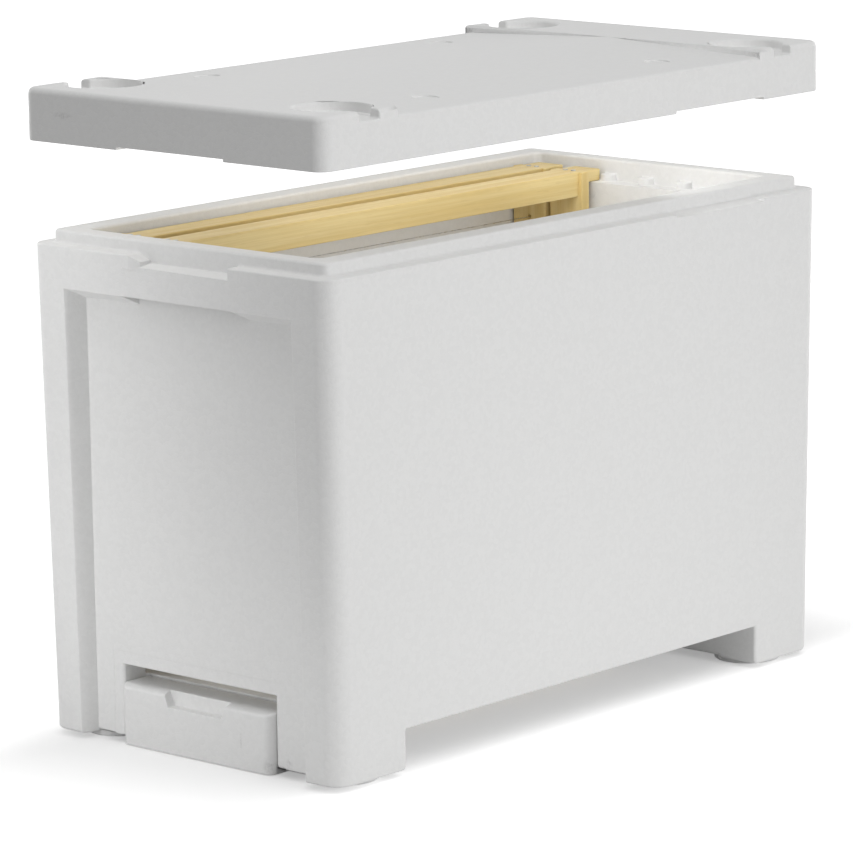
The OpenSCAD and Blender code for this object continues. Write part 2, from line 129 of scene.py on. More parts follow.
class Bench:
    """Hand tools that every sub-assembly uses.

    Attributes:
        merge_gap: Greatest distance between points that are merged, in metres.
        flat_turn: Greatest turn between faces that become one, in degrees.
        sharp_turn: Turn past which an edge is rounded, in degrees.
        smooth_turn: Greatest turn that is shaded smooth, in degrees.
        flat_weight: How strongly a large face keeps its own normal.
    """

    merge_gap = 1e-5
    flat_turn = 0.3
    sharp_turn = 25.0
    smooth_turn = 50.0
    flat_weight = 80

    @staticmethod
    def solo(piece: bpy.types.Object) -> None:
        """Selects one piece alone and makes it the active one.

        Args:
            piece: The object to work on.
        """
        bpy.ops.object.select_all(action="DESELECT")
        piece.select_set(True)
        bpy.context.view_layer.objects.active = piece

    @classmethod
    def whole_copy(cls, node: str, name: str) -> bpy.types.Object:
        """Copies a CAD node and merges its loose triangles into whole faces.

        Args:
            node: Name of the CAD node.
            name: Name of the new piece.

        Returns:
            The new piece, with its place in its mesh.
        """
        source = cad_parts[node]
        piece = bpy.data.objects.new(name, source.data.copy())
        piece.data.name = name
        piece.data.materials.clear()
        bpy.context.collection.objects.link(piece)
        cls.solo(piece)
        bpy.ops.object.mode_set(mode="EDIT")
        bpy.ops.mesh.select_all(action="SELECT")
        bpy.ops.mesh.remove_doubles(threshold=cls.merge_gap)
        bpy.ops.mesh.dissolve_limited(angle_limit=math.radians(cls.flat_turn))
        bpy.ops.object.mode_set(mode="OBJECT")
        return piece

    @classmethod
    def round_edges(
        cls, piece: bpy.types.Object, rules: Sequence[EdgeRule], plain: float, segments: int
    ) -> None:
        """Rounds the sharp edges of a piece, each by the first rule that holds its middle.

        Args:
            piece: The piece to round.
            rules: Rules in the order in which they are tried.
            plain: Radius of an edge that no rule holds.
            segments: Steps across each rounding.
        """
        mesh = piece.data
        sides = defaultdict(list)
        for polygon in mesh.polygons:
            for key in polygon.edge_keys:
                sides[key].append(polygon.normal.copy())
        widest = max([plain, *(rule.radius for rule in rules)])
        weights = mesh.attributes.new("bevel_weight_edge", "FLOAT", "EDGE")
        for edge in mesh.edges:
            normals = sides[edge.key]
            if len(normals) == 2 and normals[0].angle(normals[1], 0.0) > math.radians(cls.sharp_turn):
                a, b = (mesh.vertices[i].co for i in edge.vertices)
                radius = next((rule.radius for rule in rules if rule.holds((a + b) / 2)), plain)
                weights.data[edge.index].value = radius / widest
        rounding = piece.modifiers.new("rounding", "BEVEL")
        rounding.width = widest * MM
        rounding.segments = segments
        rounding.limit_method = "WEIGHT"
        rounding.loop_slide = False
        rounding.use_clamp_overlap = False
        cls.apply(piece, "rounding")

    @classmethod
    def smooth(cls, piece: bpy.types.Object) -> None:
        """Shades a piece smooth, with its large faces kept flat.

        Args:
            piece: The rounded piece.
        """
        cls.solo(piece)
        bpy.ops.object.shade_smooth_by_angle(angle=math.radians(cls.smooth_turn))
        normals = piece.modifiers.new("normals", "WEIGHTED_NORMAL")
        normals.keep_sharp = True
        normals.weight = cls.flat_weight
        cls.apply(piece, "normals")

    @classmethod
    def apply(cls, piece: bpy.types.Object, modifier: str) -> None:
        """Applies one modifier of a piece."""
        cls.solo(piece)
        bpy.ops.object.modifier_apply(modifier=modifier)

    @classmethod
    def soft_copy(
        cls, node: str, name: str, rules: Sequence[EdgeRule], plain: float, segments: int
    ) -> bpy.types.Object:
        """Makes a piece from a CAD node, with its edges rounded and shaded smooth.

        Args:
            node: Name of the CAD node.
            name: Name of the new piece.
            rules: Rules of the radii, in the order in which they are tried.
            plain: Radius of an edge that no rule holds.
            segments: Steps across each rounding.

        Returns:
            The new piece.
        """
        piece = cls.whole_copy(node, name)
        cls.round_edges(piece, rules, plain, segments)
        cls.smooth(piece)
        return piece

    @staticmethod
    def hand_over(
        piece: bpy.types.Object, body: Body, slot: Slot, node: str, material: bpy.types.Material
    ) -> None:
        """Dresses a finished piece and puts it in the place of its CAD node.

        Args:
            piece: The finished piece.
            body: Body that it rides on.
            slot: Not used.
            node: CAD node that it stands for.
            material: Its material.
        """
        piece.data.materials.clear()
        piece.data.materials.append(material)
        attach(piece, body.value)
        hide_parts(node)
        log.info("%s stands for %s: %d faces", piece.name, node, len(piece.data.polygons))

    @staticmethod
    def paint_node(node: str, material: bpy.types.Material) -> None:
        """Gives a carried-over CAD node its material.

        Args:
            node: Name of the CAD node.
            material: Its material.
        """
        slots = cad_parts[node].material_slots
        for slot in slots:
            slot.material = material
        if not slots:
            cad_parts[node].data.materials.append(material)
        log.info("%s keeps its CAD shape, finished in %s", node, material.name)


@dataclass
class Wiring:
    """Adds and joins the nodes of one shader tree."""

    tree: bpy.types.NodeTree

    def add(self, kind: str, **settings: object) -> bpy.types.Node:
        """Adds a node.

        Args:
            kind: Node type.
            settings: Properties of the node.

        Returns:
            The node.
        """
        node = self.tree.nodes.new(kind)
        for key, value in settings.items():
            setattr(node, key, value)
        return node

    def feed(self, target: Socket, value: Value) -> None:
        """Links a socket to an input, or sets the input's own value.

        Args:
            target: The input.
            value: A socket to link, or the value to set.
        """
        if isinstance(value, bpy.types.NodeSocket):
            self.tree.links.new(value, target)
        else:
            target.default_value = value

    def math(self, operation: str, *values: Value, clamp: bool = False) -> Socket:
        """Adds a Math node.

        Args:
            operation: What it does.
            values: Its inputs in order.
            clamp: Whether its result is held between 0 and 1.

        Returns:
            Its output.
        """
        node = self.add("ShaderNodeMath", operation=operation, use_clamp=clamp)
        for target, value in zip(node.inputs, values):
            self.feed(target, value)
        return node.outputs[0]

    def total(self, *terms: tuple[Value, float]) -> Socket:
        """Adds up values.

        Args:
            terms: Each value and the factor that it counts by.

        Returns:
            Their sum.
        """
        first, *others = (self.math("MULTIPLY", value, factor) for value, factor in terms)
        for other in others:
            first = self.math("ADD", first, other)
        return first

    def vector(self, operation: str, *values: Value) -> Socket:
        """Adds a Vector Math node.

        Args:
            operation: What it does.
            values: Its inputs in order.

        Returns:
            Its vector, or its value where it measures a length.
        """
        node = self.add("ShaderNodeVectorMath", operation=operation)
        for target, value in zip(node.inputs, values):
            self.feed(target, value)
        return node.outputs["Value" if operation == "LENGTH" else "Vector"]

    def ramp(self, value: Value, low: float, high: float, start: Value = 0.0, end: Value = 1.0) -> Socket:
        """Maps a value smoothly from one range to another.

        Args:
            value: The value to map.
            low: Value that gives start.
            high: Value that gives end.
            start: Result at low and beyond it.
            end: Result at high and beyond it.

        Returns:
            The mapped value.
        """
        node = self.add("ShaderNodeMapRange", interpolation_type="SMOOTHSTEP", clamp=True)
        for target, item in zip(node.inputs, (value, low, high, start, end)):
            self.feed(target, item)
        return node.outputs[0]

    def mix(self, factor: Value, first: Value, second: Value) -> Socket:
        """Mixes two colours.

        Args:
            factor: Share of the second colour.
            first: First colour.
            second: Second colour.

        Returns:
            The mixed colour.
        """
        node = self.add("ShaderNodeMix", data_type="RGBA")
        self.feed(node.inputs[0], factor)
        self.feed(node.inputs[6], first)
        self.feed(node.inputs[7], second)
        return node.outputs[2]

    def noise(self, vector: Value, scale: float, detail: float, roughness: float) -> Socket:
        """Adds a noise pattern.

        Args:
            vector: Where it is read.
            scale: How fine it is.
            detail: How many finer layers it has.
            roughness: How strong those layers are.

        Returns:
            Its value.
        """
        node = self.add("ShaderNodeTexNoise")
        self.feed(node.inputs["Vector"], vector)
        node.inputs["Scale"].default_value = scale
        node.inputs["Detail"].default_value = detail
        node.inputs["Roughness"].default_value = roughness
        return node.outputs[0]

    def streaks(self, vector: Value, scales: Triple, detail: float, roughness: float) -> Socket:
        """Adds a noise pattern that is unlike in fineness along X, Y and Z."""
        return self.noise(self.vector("MULTIPLY", vector, scales), 1.0, detail, roughness)

    def place(self, group: bpy.types.NodeTree, **values: Value) -> bpy.types.Node:
        """Places a node group.

        Args:
            group: The group.
            values: Its inputs by name.

        Returns:
            The group's node.
        """
        node = self.add("ShaderNodeGroup", node_tree=group)
        for name, value in values.items():
            self.feed(node.inputs[name], value)
        return node


Group = tuple[Wiring, bpy.types.Node, bpy.types.Node]


class Effects:
    """Shader node groups that the finishes place, each built once."""

    def __init__(self) -> None:
        """Builds every group."""
        self.skin = self._skin()
        self.rubs = self._rubs()
        self.smudge = self._smudge()
        self.vents = self._vents()
        self.timber = self._timber()
        self.drawn = self._drawn()

    @staticmethod
    def _open(name: str, inputs: dict[str, Kind], outputs: Sequence[str]) -> Group:
        """Makes an empty group with its sockets.

        Args:
            name: Name of the group.
            inputs: Names and kinds of its inputs.
            outputs: Names of its outputs, all values.

        Returns:
            Its wiring, its input node and its output node.
        """
        tree = bpy.data.node_groups.new(name, "ShaderNodeTree")
        for label, kind in inputs.items():
            tree.interface.new_socket(label, in_out="INPUT", socket_type=kind.value)
        for label in outputs:
            tree.interface.new_socket(label, in_out="OUTPUT", socket_type=Kind.VALUE.value)
        wiring = Wiring(tree)
        return wiring, wiring.add("NodeGroupInput"), wiring.add("NodeGroupOutput")

    def _skin(self) -> bpy.types.NodeTree:
        """Builds the skin of moulded foam: fused beads under a fine grain.

        Returns:
            The group.
        """
        w, come, go = self._open(
            "moulded_skin", {"Vector": Kind.VECTOR, "Bead": Kind.VALUE}, ["Tint", "Height"])
        place = come.outputs["Vector"]
        scale = w.math("DIVIDE", 1.0 / MM, come.outputs["Bead"])
        cells = w.add("ShaderNodeTexVoronoi", feature="F1")
        seams = w.add("ShaderNodeTexVoronoi", feature="DISTANCE_TO_EDGE")
        for node in (cells, seams):
            w.feed(node.inputs["Vector"], place)
            w.feed(node.inputs["Scale"], scale)
        parts = w.add("ShaderNodeSeparateColor")
        w.feed(parts.inputs[0], cells.outputs["Color"])
        grain = w.noise(place, scale=620.0, detail=3.0, roughness=0.6)
        broad = w.noise(place, scale=60.0, detail=3.0, roughness=0.6)
        w.feed(go.inputs["Tint"], w.total((parts.outputs[0], 0.35), (grain, 0.45), (broad, 0.2)))
        dome = w.ramp(seams.outputs["Distance"], 0.0, 0.16)
        w.feed(go.inputs["Height"], w.total((dome, 0.6), (grain, 0.4)))
        return w.tree

    def _rubs(self) -> bpy.types.NodeTree:
        """Builds faint rub marks spread thinly over a surface.

        Returns:
            The group.
        """
        w, come, go = self._open("rub_marks", {"Vector": Kind.VECTOR, "Amount": Kind.VALUE}, ["Mask"])
        place = come.outputs["Vector"]
        broad = w.noise(place, scale=11.0, detail=4.0, roughness=0.6)
        streaks = w.streaks(place, (40.0, 40.0, 150.0), detail=4.0, roughness=0.65)
        mask = w.math("MULTIPLY", w.ramp(broad, 0.5, 0.72), w.ramp(streaks, 0.5, 0.72))
        w.feed(go.inputs["Mask"], w.math("MULTIPLY", mask, come.outputs["Amount"], clamp=True))
        return w.tree

    def _smudge(self) -> bpy.types.NodeTree:
        """Builds one speckled smudge around a point.

        Returns:
            The group.
        """
        w, come, go = self._open(
            "smudge", {"Vector": Kind.VECTOR, "Centre": Kind.VECTOR, "Reach": Kind.VECTOR}, ["Mask"])
        place = come.outputs["Vector"]
        offset = w.vector("SUBTRACT", place, come.outputs["Centre"])
        away = w.vector("DIVIDE", offset, come.outputs["Reach"])
        near = w.ramp(w.vector("LENGTH", away), 1.0, 0.1)
        speckle = w.noise(place, scale=420.0, detail=4.0, roughness=0.7)
        w.feed(go.inputs["Mask"], w.math("MULTIPLY", near, w.ramp(speckle, 0.36, 0.70), clamp=True))
        return w.tree

    def _vents(self) -> bpy.types.NodeTree:
        """Builds the rings that the steam vents of a mould leave on the inner walls, on a regular grid.

        Returns:
            The group.
        """
        radius, line_edge, line_core, half_cell = 4.5 * MM, 0.8 * MM, 0.1 * MM, (0.5, 0.5, 0.5)
        labels = ("Vector", "Pitch", "Middle", "Half")
        w, come, go = self._open("steam_vents", dict.fromkeys(labels, Kind.VECTOR), ["Ring"])
        shifted = w.vector("SUBTRACT", come.outputs["Vector"], come.outputs["Middle"])
        cell = w.vector("ADD", w.vector("DIVIDE", shifted, come.outputs["Pitch"]), half_cell)
        offset = w.vector("SUBTRACT", w.vector("FRACTION", cell), half_cell)
        away = w.vector("LENGTH", w.vector("MULTIPLY", offset, come.outputs["Pitch"]))
        line = w.math("ABSOLUTE", w.math("SUBTRACT", away, radius))
        past = w.add("ShaderNodeSeparateXYZ")
        w.feed(past.inputs[0], w.vector("SUBTRACT", w.vector("ABSOLUTE", shifted), come.outputs["Half"]))
        worst = w.math("MAXIMUM", w.math("MAXIMUM", past.outputs[0], past.outputs[1]), past.outputs[2])
        inside = w.math("LESS_THAN", worst, 0.0)
        w.feed(go.inputs["Ring"], w.math("MULTIPLY", w.ramp(line, line_edge, line_core), inside))
        return w.tree

    def _timber(self) -> bpy.types.NodeTree:
        """Builds softwood with its fibres along Y: soft growth bands and fine fibres.

        Returns:
            The group.
        """
        w, come, go = self._open("timber", {"Vector": Kind.VECTOR}, ["Bands", "Fibre", "Flecks"])
        place = come.outputs["Vector"]
        bands = w.streaks(place, (150.0, 4.0, 150.0), detail=3.0, roughness=0.55)
        fibre = w.streaks(place, (1500.0, 18.0, 1500.0), detail=2.0, roughness=0.6)
        flecks = w.streaks(place, (900.0, 60.0, 900.0), detail=1.0, roughness=0.5)
        w.feed(go.inputs["Bands"], w.ramp(bands, 0.32, 0.68))
        w.feed(go.inputs["Fibre"], fibre)
        w.feed(go.inputs["Flecks"], w.ramp(flecks, 0.62, 0.75))
        return w.tree

    def _drawn(self) -> bpy.types.NodeTree:
        """Builds the fine lines and dull spots of drawn or rolled metal.

        Returns:
            The group.
        """
        w, come, go = self._open("drawn_metal", {"Vector": Kind.VECTOR}, ["Lines", "Dull"])
        place = come.outputs["Vector"]
        lines = w.streaks(place, (2600.0, 240.0, 2600.0), detail=2.0, roughness=0.6)
        dull = w.noise(place, scale=260.0, detail=3.0, roughness=0.6)
        w.feed(go.inputs["Lines"], lines)
        w.feed(go.inputs["Dull"], w.ramp(dull, 0.4, 0.65))
        return w.tree


@dataclass(frozen=True)
class Mark:
    """A smudge at a place on a surface, in millimetres."""

    centre: Triple
    reach: Triple


@dataclass(frozen=True)
class VentGrid:
    """Grid of steam vents inside a moulding, in millimetres."""

    middle: Triple
    half: Triple
    pitch: Triple


@dataclass(frozen=True)
class Finish(ABC):
    """A procedural finish, made into a material once.

    Attributes:
        name: Name of the material.
        colour: Main colour.
        shade: Colour of its darker parts.
        roughness: Least and greatest roughness.
        relief: Depth of its relief, and how strongly it shows.
    """

    name: str
    colour: Triple
    shade: Triple
    roughness: Pair
    relief: Pair = (0.02, 0.3)

    @abstractmethod
    def material(self, effects: Effects) -> bpy.types.Material:
        """Builds the material."""

    def _start(self) -> tuple[bpy.types.Material, Wiring, bpy.types.Node, Socket]:
        """Makes the empty material.

        Returns:
            The material, its wiring, its shader and its object coordinates.
        """
        material = bpy.data.materials.new(self.name)
        material.use_nodes = True
        wiring = Wiring(material.node_tree)
        shader = material.node_tree.nodes["Principled BSDF"]
        place = wiring.add("ShaderNodeTexCoord").outputs["Object"]
        return material, wiring, shader, place

    def _raise(self, wiring: Wiring, shader: bpy.types.Node, height: Socket) -> None:
        """Adds the relief to the shader's normal.

        Args:
            wiring: The material's wiring.
            shader: The material's shader.
            height: Height over the surface.
        """
        depth, strength = self.relief
        bump = wiring.add("ShaderNodeBump")
        bump.inputs["Strength"].default_value = strength
        bump.inputs["Distance"].default_value = depth * MM
        wiring.feed(bump.inputs["Height"], height)
        wiring.feed(shader.inputs["Normal"], bump.outputs["Normal"])


@dataclass(frozen=True)
class FoamFinish(Finish):
    """Matt skin of moulded bead foam, with faint rubs and a few smudges.

    Attributes:
        bead: Width of a bead.
        gloss: Level of its gloss.
        rub: Share of the rubs' colour.
        rub_colour: Colour of the rubs.
        soil: Share of the smudges' colour.
        soil_colour: Colour of the smudges.
        marks: Its smudges.
        vents: Its steam vents.
        vent_rise: Height of a vent's ring against the skin's relief.
    """

    relief: Pair = (0.12, 0.5)
    bead: float = 3.2
    gloss: float = 0.35
    rub: float = 0.025
    rub_colour: Triple = (0.30, 0.30, 0.29)
    soil: float = 0.30
    soil_colour: Triple = (0.20, 0.20, 0.19)
    marks: tuple[Mark, ...] = ()
    vents: Optional[VentGrid] = None
    vent_rise: float = 4.0

    def material(self, effects: Effects) -> bpy.types.Material:
        """Builds the material.

        Args:
            effects: The shared node groups.

        Returns:
            The material.
        """
        material, w, shader, place = self._start()
        skin = w.place(effects.skin, Vector=place, Bead=self.bead)
        tint = w.ramp(skin.outputs["Tint"], 0.3, 0.7)
        colour = w.mix(tint, opaque(self.shade), opaque(self.colour))
        rubs = w.place(effects.rubs, Vector=place, Amount=self.rub)
        colour = w.mix(rubs.outputs["Mask"], colour, opaque(self.rub_colour))
        for mark in self.marks:
            smudge = w.place(
                effects.smudge, Vector=place, Centre=metres(mark.centre), Reach=metres(mark.reach))
            share = w.math("MULTIPLY", smudge.outputs["Mask"], self.soil)
            colour = w.mix(share, colour, opaque(self.soil_colour))
        height = skin.outputs["Height"]
        if self.vents:
            ring = w.place(
                effects.vents, Vector=place, Pitch=metres(self.vents.pitch),
                Middle=metres(self.vents.middle), Half=metres(self.vents.half))
            height = w.math("ADD", height, w.math("MULTIPLY", ring.outputs["Ring"], self.vent_rise))
        w.feed(shader.inputs["Base Color"], colour)
        w.feed(shader.inputs["Roughness"], w.ramp(skin.outputs["Tint"], 0.2, 0.8, *self.roughness))
        shader.inputs["Specular IOR Level"].default_value = self.gloss
        self._raise(w, shader, height)
        return material


@dataclass(frozen=True)
class WoodFinish(Finish):
    """Planed, unvarnished softwood.

    Attributes:
        fibres: Way the fibres run.
        shift: How far the pattern is moved, so that no two bars are alike.
        shift_ways: How the shift counts along X, Y and Z.
        gloss: Level of its gloss.
        fibre: Greatest share of the fibres' colour.
        fibre_dark: Colour of the fibres against the shade.
        fleck: Share of the flecks' colour.
        fleck_colour: Colour of the flecks.
    """

    relief: Pair = (0.08, 0.4)
    fibres: Fibres = Fibres.LENGTHWISE
    shift: float = 0.0
    shift_ways: Triple = (1.0, 3.0, 2.0)
    gloss: float = 0.4
    fibre: float = 0.16
    fibre_dark: float = 0.72
    fleck: float = 0.12
    fleck_colour: Triple = (0.34, 0.18, 0.05)

    def material(self, effects: Effects) -> bpy.types.Material:
        """Builds the material.

        Args:
            effects: The shared node groups.

        Returns:
            The material.
        """
        material, w, shader, place = self._start()
        turn = w.add("ShaderNodeMapping")
        turn.inputs["Rotation"].default_value = (math.radians(self.fibres.value), 0.0, 0.0)
        turn.inputs["Location"].default_value = tuple(self.shift * way for way in self.shift_ways)
        w.feed(turn.inputs["Vector"], place)
        timber = w.place(effects.timber, Vector=turn.outputs["Vector"])
        colour = w.mix(timber.outputs["Bands"], opaque(self.colour), opaque(self.shade))
        fibre = w.ramp(timber.outputs["Fibre"], 0.35, 0.65, 0.0, self.fibre)
        colour = w.mix(fibre, colour, tuple(self.fibre_dark * c for c in self.shade) + (1.0,))
        flecks = w.math("MULTIPLY", timber.outputs["Flecks"], self.fleck)
        w.feed(shader.inputs["Base Color"], w.mix(flecks, colour, opaque(self.fleck_colour)))
        w.feed(shader.inputs["Roughness"], w.ramp(timber.outputs["Fibre"], 0.3, 0.7, *self.roughness))
        shader.inputs["Specular IOR Level"].default_value = self.gloss
        self._raise(w, shader, timber.outputs["Fibre"])
        return material


@dataclass(frozen=True)
class MetalFinish(Finish):
    """Drawn or rolled metal with dull spots."""

    def material(self, effects: Effects) -> bpy.types.Material:
        """Builds the material.

        Args:
            effects: The shared node groups.

        Returns:
            The material.
        """
        material, w, shader, place = self._start()
        drawn = w.place(effects.drawn, Vector=place)
        colour = w.mix(drawn.outputs["Dull"], opaque(self.colour), opaque(self.shade))
        w.feed(shader.inputs["Base Color"], colour)
        shader.inputs["Metallic"].default_value = 1.0
        w.feed(shader.inputs["Roughness"], w.ramp(drawn.outputs["Lines"], 0.3, 0.7, *self.roughness))
        self._raise(w, shader, drawn.outputs["Lines"])
        return material


@dataclass(frozen=True)
class PinFinish(Finish):
    """Matt moulded plastic of the pins.

    Attributes:
        bead: Width of the grains in its skin.
    """

    relief: Pair = (0.03, 0.3)
    bead: float = 0.8

    def material(self, effects: Effects) -> bpy.types.Material:
        """Builds the material.

        Args:
            effects: The shared node groups.

        Returns:
            The material.
        """
        material, w, shader, place = self._start()
        skin = w.place(effects.skin, Vector=place, Bead=self.bead)
        colour = w.mix(skin.outputs["Tint"], opaque(self.shade), opaque(self.colour))
        w.feed(shader.inputs["Base Color"], colour)
        w.feed(shader.inputs["Roughness"], w.ramp(skin.outputs["Tint"], 0.2, 0.8, *self.roughness))
        self._raise(w, shader, skin.outputs["Height"])
        return material


FOAM = (0.80, 0.80, 0.795)
FOAM_SHADE = (0.775, 0.775, 0.77)
FOAM_ROUGHNESS = (0.5, 0.68)


@dataclass
class Moulding(ABC):
    """A foam moulding, made from one CAD node.

    Attributes:
        node: Name of the CAD node.
        name: Name of the piece.
        body: Body that the piece rides on.
        finish: Its foam.
        edge_r: Radius of an edge that no rule holds.
        steps: Steps across each rounding.
    """

    node: str
    name: str
    body: Body
    finish: FoamFinish
    edge_r: float
    steps: int

    @abstractmethod
    def rules(self) -> list[EdgeRule]:
        """Lists the radii of its edges, in the order in which they are tried."""

    def build(self) -> bpy.types.Object:
        """Makes the piece, with its edges rounded as the foam leaves the mould."""
        return Bench.soft_copy(self.node, self.name, self.rules(), self.edge_r, self.steps)

    def dress(self, piece: bpy.types.Object, effects: Effects) -> None:
        """Finishes the piece in foam."""
        Bench.hand_over(piece, self.body, Slot.FOAM, self.node, self.finish.material(effects))


@dataclass
class HiveBody(Moulding):
    """The moulded foam box."""

    node: str = "hive_body"
    name: str = "foam_box"
    body: Body = Body.BOX
    finish: FoamFinish = FoamFinish(
        "box_foam", FOAM, FOAM_SHADE, FOAM_ROUGHNESS,
        marks=(Mark((84.0, -256.0, 10.0), (5.0, 6.0, 6.0)),),
        vents=VentGrid((0.0, 0.0, 208.0), (112.6, 232.4, 138.0), (44.88, 46.4, 46.0)))
    edge_r: float = 1.0
    steps: int = 3
    rim_z: float = 370.5
    ledge_z: float = 361.0
    half_w: float = 145.0
    half_l: float = 275.0
    rim_r: float = 2.4
    rim_foot_r: float = 2.0
    ledge_r: float = 1.4

    def rules(self) -> list[EdgeRule]:
        """Lists the radii of the box's edges, from the rim down to the feet.

        Returns:
            The rules in the order in which they are tried.
        """
        x, y, rim, ledge = self.half_w + 1, self.half_l + 1, self.rim_z, self.ledge_z
        return [
            EdgeRule((0, 0, rim - 1), (x, y, rim + 1), self.rim_r),
            # Tool notches: their ribs and ends, the rest of them, and the notches of the long sides.
            EdgeRule((33, 262, 349), (53, y + 2, ledge + 1), 0.5),
            EdgeRule((0, 262, 350), (53, y, ledge + 1), 0.8),
            EdgeRule((131, 101, 357), (x, 207, ledge + 1), 0.7),
            # Ledge: its outer edge along the sides and across the ends, then the foot of the rim.
            EdgeRule((140, 0, ledge - 1), (x, y, ledge + 1), self.ledge_r),
            EdgeRule((0, 270, ledge - 1), (x, y, ledge + 1), self.ledge_r),
            EdgeRule((0, 0, ledge - 1), (x, y, ledge + 1), self.rim_foot_r),
            # End recesses: grip, lintel, soffit, mouth and inner corners.
            EdgeRule((0, 250, 333), (56, 270, 347), 1.0),
            EdgeRule((0, 265, 329), (112, y, 333), 0.2),
            EdgeRule((0, 255, 312), (104, y, 329), 0.6),
            EdgeRule((104, 266, -1), (112, y, 333), 0.6),
            EdgeRule((104, 250, -1), (112, 266, 333), 1.0),
            # Shelves that the lugs hang on.
            EdgeRule((0, 225, 353), (113, 249, 356), 0.5),
            # Entrance: its surround above and beside it, then its upper corners, top and sides.
            EdgeRule((0, 253, 60), (90, 259, 71), 0.2),
            EdgeRule((80, 253, -1), (92, 259, 71), 0.2),
            EdgeRule((69, 225, 57), (80, 260, 59), 1.5),
            EdgeRule((0, 225, 57), (80, 260, 59), 1.2),
            EdgeRule((69, 225, -1), (80, 260, 57), 3.0),
            # Floor vent, which stays sharp.
            EdgeRule((0, 0, 33), (100, 150, 48), 0.0),
            # Feet: their soles, the skirt's ends and lower edge, and the ends of the arch.
            EdgeRule((0, 0, -1), (x, y, 2), 1.2),
            EdgeRule((0, 190, 2), (x, 202, 7), 3.6),
            EdgeRule((0, 0, 2), (x, y, 7), 2.0),
            EdgeRule((0, 190, 7), (x, 202, 40), 2.5),
        ]


@dataclass
class Roof(Moulding):
    """The moulded foam roof with its dishes and drains."""

    node: str = "roof"
    name: str = "foam_roof"
    body: Body = Body.ROOF
    finish: FoamFinish = FoamFinish(
        "roof_foam", FOAM, FOAM_SHADE, FOAM_ROUGHNESS,
        marks=(Mark((-104.0, -277.0, 455.0), (12.0, 6.0, 3.5)),))
    edge_r: float = 1.0
    steps: int = 4
    half_w: float = 145.0
    half_l: float = 277.0
    low_z: float = 434.7
    top_z: float = 472.7
    top_r: float = 4.5
    dish_x: float = 110.0
    dish_y: float = 229.0
    dish_r: float = 27.5
    strip_y: float = 200.5

    def rules(self) -> list[EdgeRule]:
        """Lists the radii of the roof's edges, from its dishes down to its lower edge.

        Returns:
            The rules in the order in which they are tried.
        """
        x, y, top = self.half_w + 1, self.half_l + 1, self.top_z
        strip, dish = self.strip_y, self.dish_r + 1.5
        dish_low = (self.dish_x - dish, self.dish_y - dish, top - 9)
        dish_high = (self.dish_x + dish, self.dish_y + dish, top + 1)
        return [
            # Steps of the end strips: their outer ends, which stay sharp, and the rest of them.
            EdgeRule((134, strip - 1, 440), (x, strip + 1, top + 1), 0.0),
            EdgeRule((0, strip - 1, 440), (138, strip + 3, top + 1), 0.35),
            # Dishes: their rims, tighter towards the step, and the drains.
            EdgeRule((0, strip + 3, top - 9), (138, strip + 7, top + 1), 0.8),
            EdgeRule((0, strip + 7, top - 9), (138, strip + 13, top + 1), 1.4),
            EdgeRule((134, self.dish_y - 12, top - 9), (x, self.dish_y + 12, top + 1), 1.6),
            EdgeRule(dish_low, dish_high, 2.0),
            # Top edges along the sides and across the ends, mould marks and lower edge.
            EdgeRule((140, 0, 455), (x, y, top + 1), self.top_r),
            EdgeRule((0, 272, 455), (x, y, top + 1), self.top_r),
            EdgeRule((90, 110, 455), (120, 145, top + 1), 0.4),
            EdgeRule((0, 0, self.low_z - 1), (x, y, self.low_z + 3), 0.8),
        ]


@dataclass
class EntranceBlock(Moulding):
    """The foam block that closes the entrance down to a bee gap."""

    node: str = "entrance_block"
    name: str = "foam_block"
    body: Body = Body.BLOCK
    finish: FoamFinish = FoamFinish(
        "block_foam", FOAM, FOAM_SHADE, FOAM_ROUGHNESS,
        marks=(Mark((69.0, -259.5, 6.0), (9.0, 6.0, 7.0)), Mark((42.0, -260.0, 22.0), (1.5, 4.0, 9.0))))
    edge_r: float = 1.8
    steps: int = 3
    sole_r: float = 0.8
    scoop_r: float = 0.6

    def rules(self) -> list[EdgeRule]:
        """Lists the radii of the block's lower edges and of its scoop."""
        sole = EdgeRule((0, 0, -1), (200, 300, 2), self.sole_r)
        return [sole, EdgeRule((0, 250, 30), (36, 262, 46), self.scoop_r)]


@dataclass
class FloorVent:
    """The mesh over the floor vent and the pins that hold it."""

    mesh_finish: MetalFinish = MetalFinish(
        "galvanised_mesh", (0.52, 0.53, 0.54), (0.38, 0.39, 0.40), (0.38, 0.6))
    pin_finish: PinFinish = PinFinish("pin_plastic", (0.80, 0.80, 0.78), (0.68, 0.68, 0.66), (0.42, 0.6))

    def dress(self, effects: Effects) -> None:
        """Finishes the mesh and the pins, which keep their CAD shapes."""
        Bench.paint_node("floor_mesh", self.mesh_finish.material(effects))
        Bench.paint_node("mesh_pins", self.pin_finish.material(effects))


@dataclass(frozen=True)
class FrameMetals:
    """Materials of the metal parts, which both frames share.

    Attributes:
        parts: Materials by part.
    """

    parts: dict[str, bpy.types.Material]

    @classmethod
    def make(cls, effects: Effects) -> "FrameMetals":
        """Builds the materials.

        Args:
            effects: The shared node groups.

        Returns:
            The metals.
        """
        steel_finish = MetalFinish("bright_steel", (0.66, 0.66, 0.68), (0.45, 0.45, 0.47), (0.22, 0.42))
        brass_finish = MetalFinish("satin_brass", (0.78, 0.60, 0.27), (0.60, 0.44, 0.18), (0.25, 0.45))
        steel, brass = steel_finish.material(effects), brass_finish.material(effects)
        return cls({"wire": steel, "nails": steel, "tacks": steel, "eyelets": brass})


